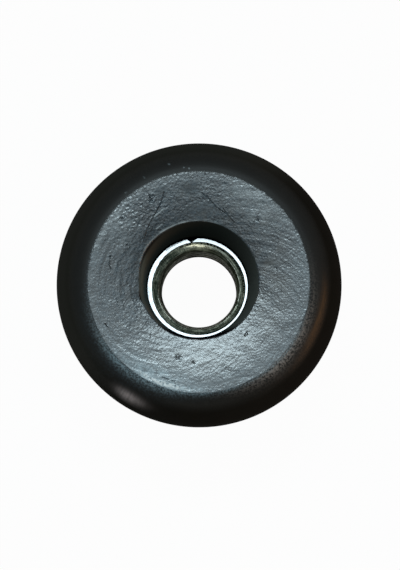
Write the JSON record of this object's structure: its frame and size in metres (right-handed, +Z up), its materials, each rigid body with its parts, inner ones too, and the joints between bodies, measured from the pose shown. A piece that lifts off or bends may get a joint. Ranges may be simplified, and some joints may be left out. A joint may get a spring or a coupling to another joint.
{
  "type": "threaded tube insert",
  "caption": "Round black plastic plug for the end of a tube: a domed-edge head over a finned shank, with a steel bush, threaded right through, set deep in a tapered recess.",
  "frame": {"origin": "centre of the shank's lower end, on the axis, where the insert stands", "axes": "+Z up the axis, from the shank towards the head's flat face"},
  "size_m": [0.032, 0.032, 0.027],
  "materials": {
    "black_plastic": "satin moulded edge, scuffed grey-blue sheen on the flat face",
    "plated_steel": "bright zinc plate with a faint green-yellow tint"
  },
  "bodies": {
    "root": {"moulded_body": "black_plastic", "threaded_bush": "plated_steel"}
  },
  "joints": []
}
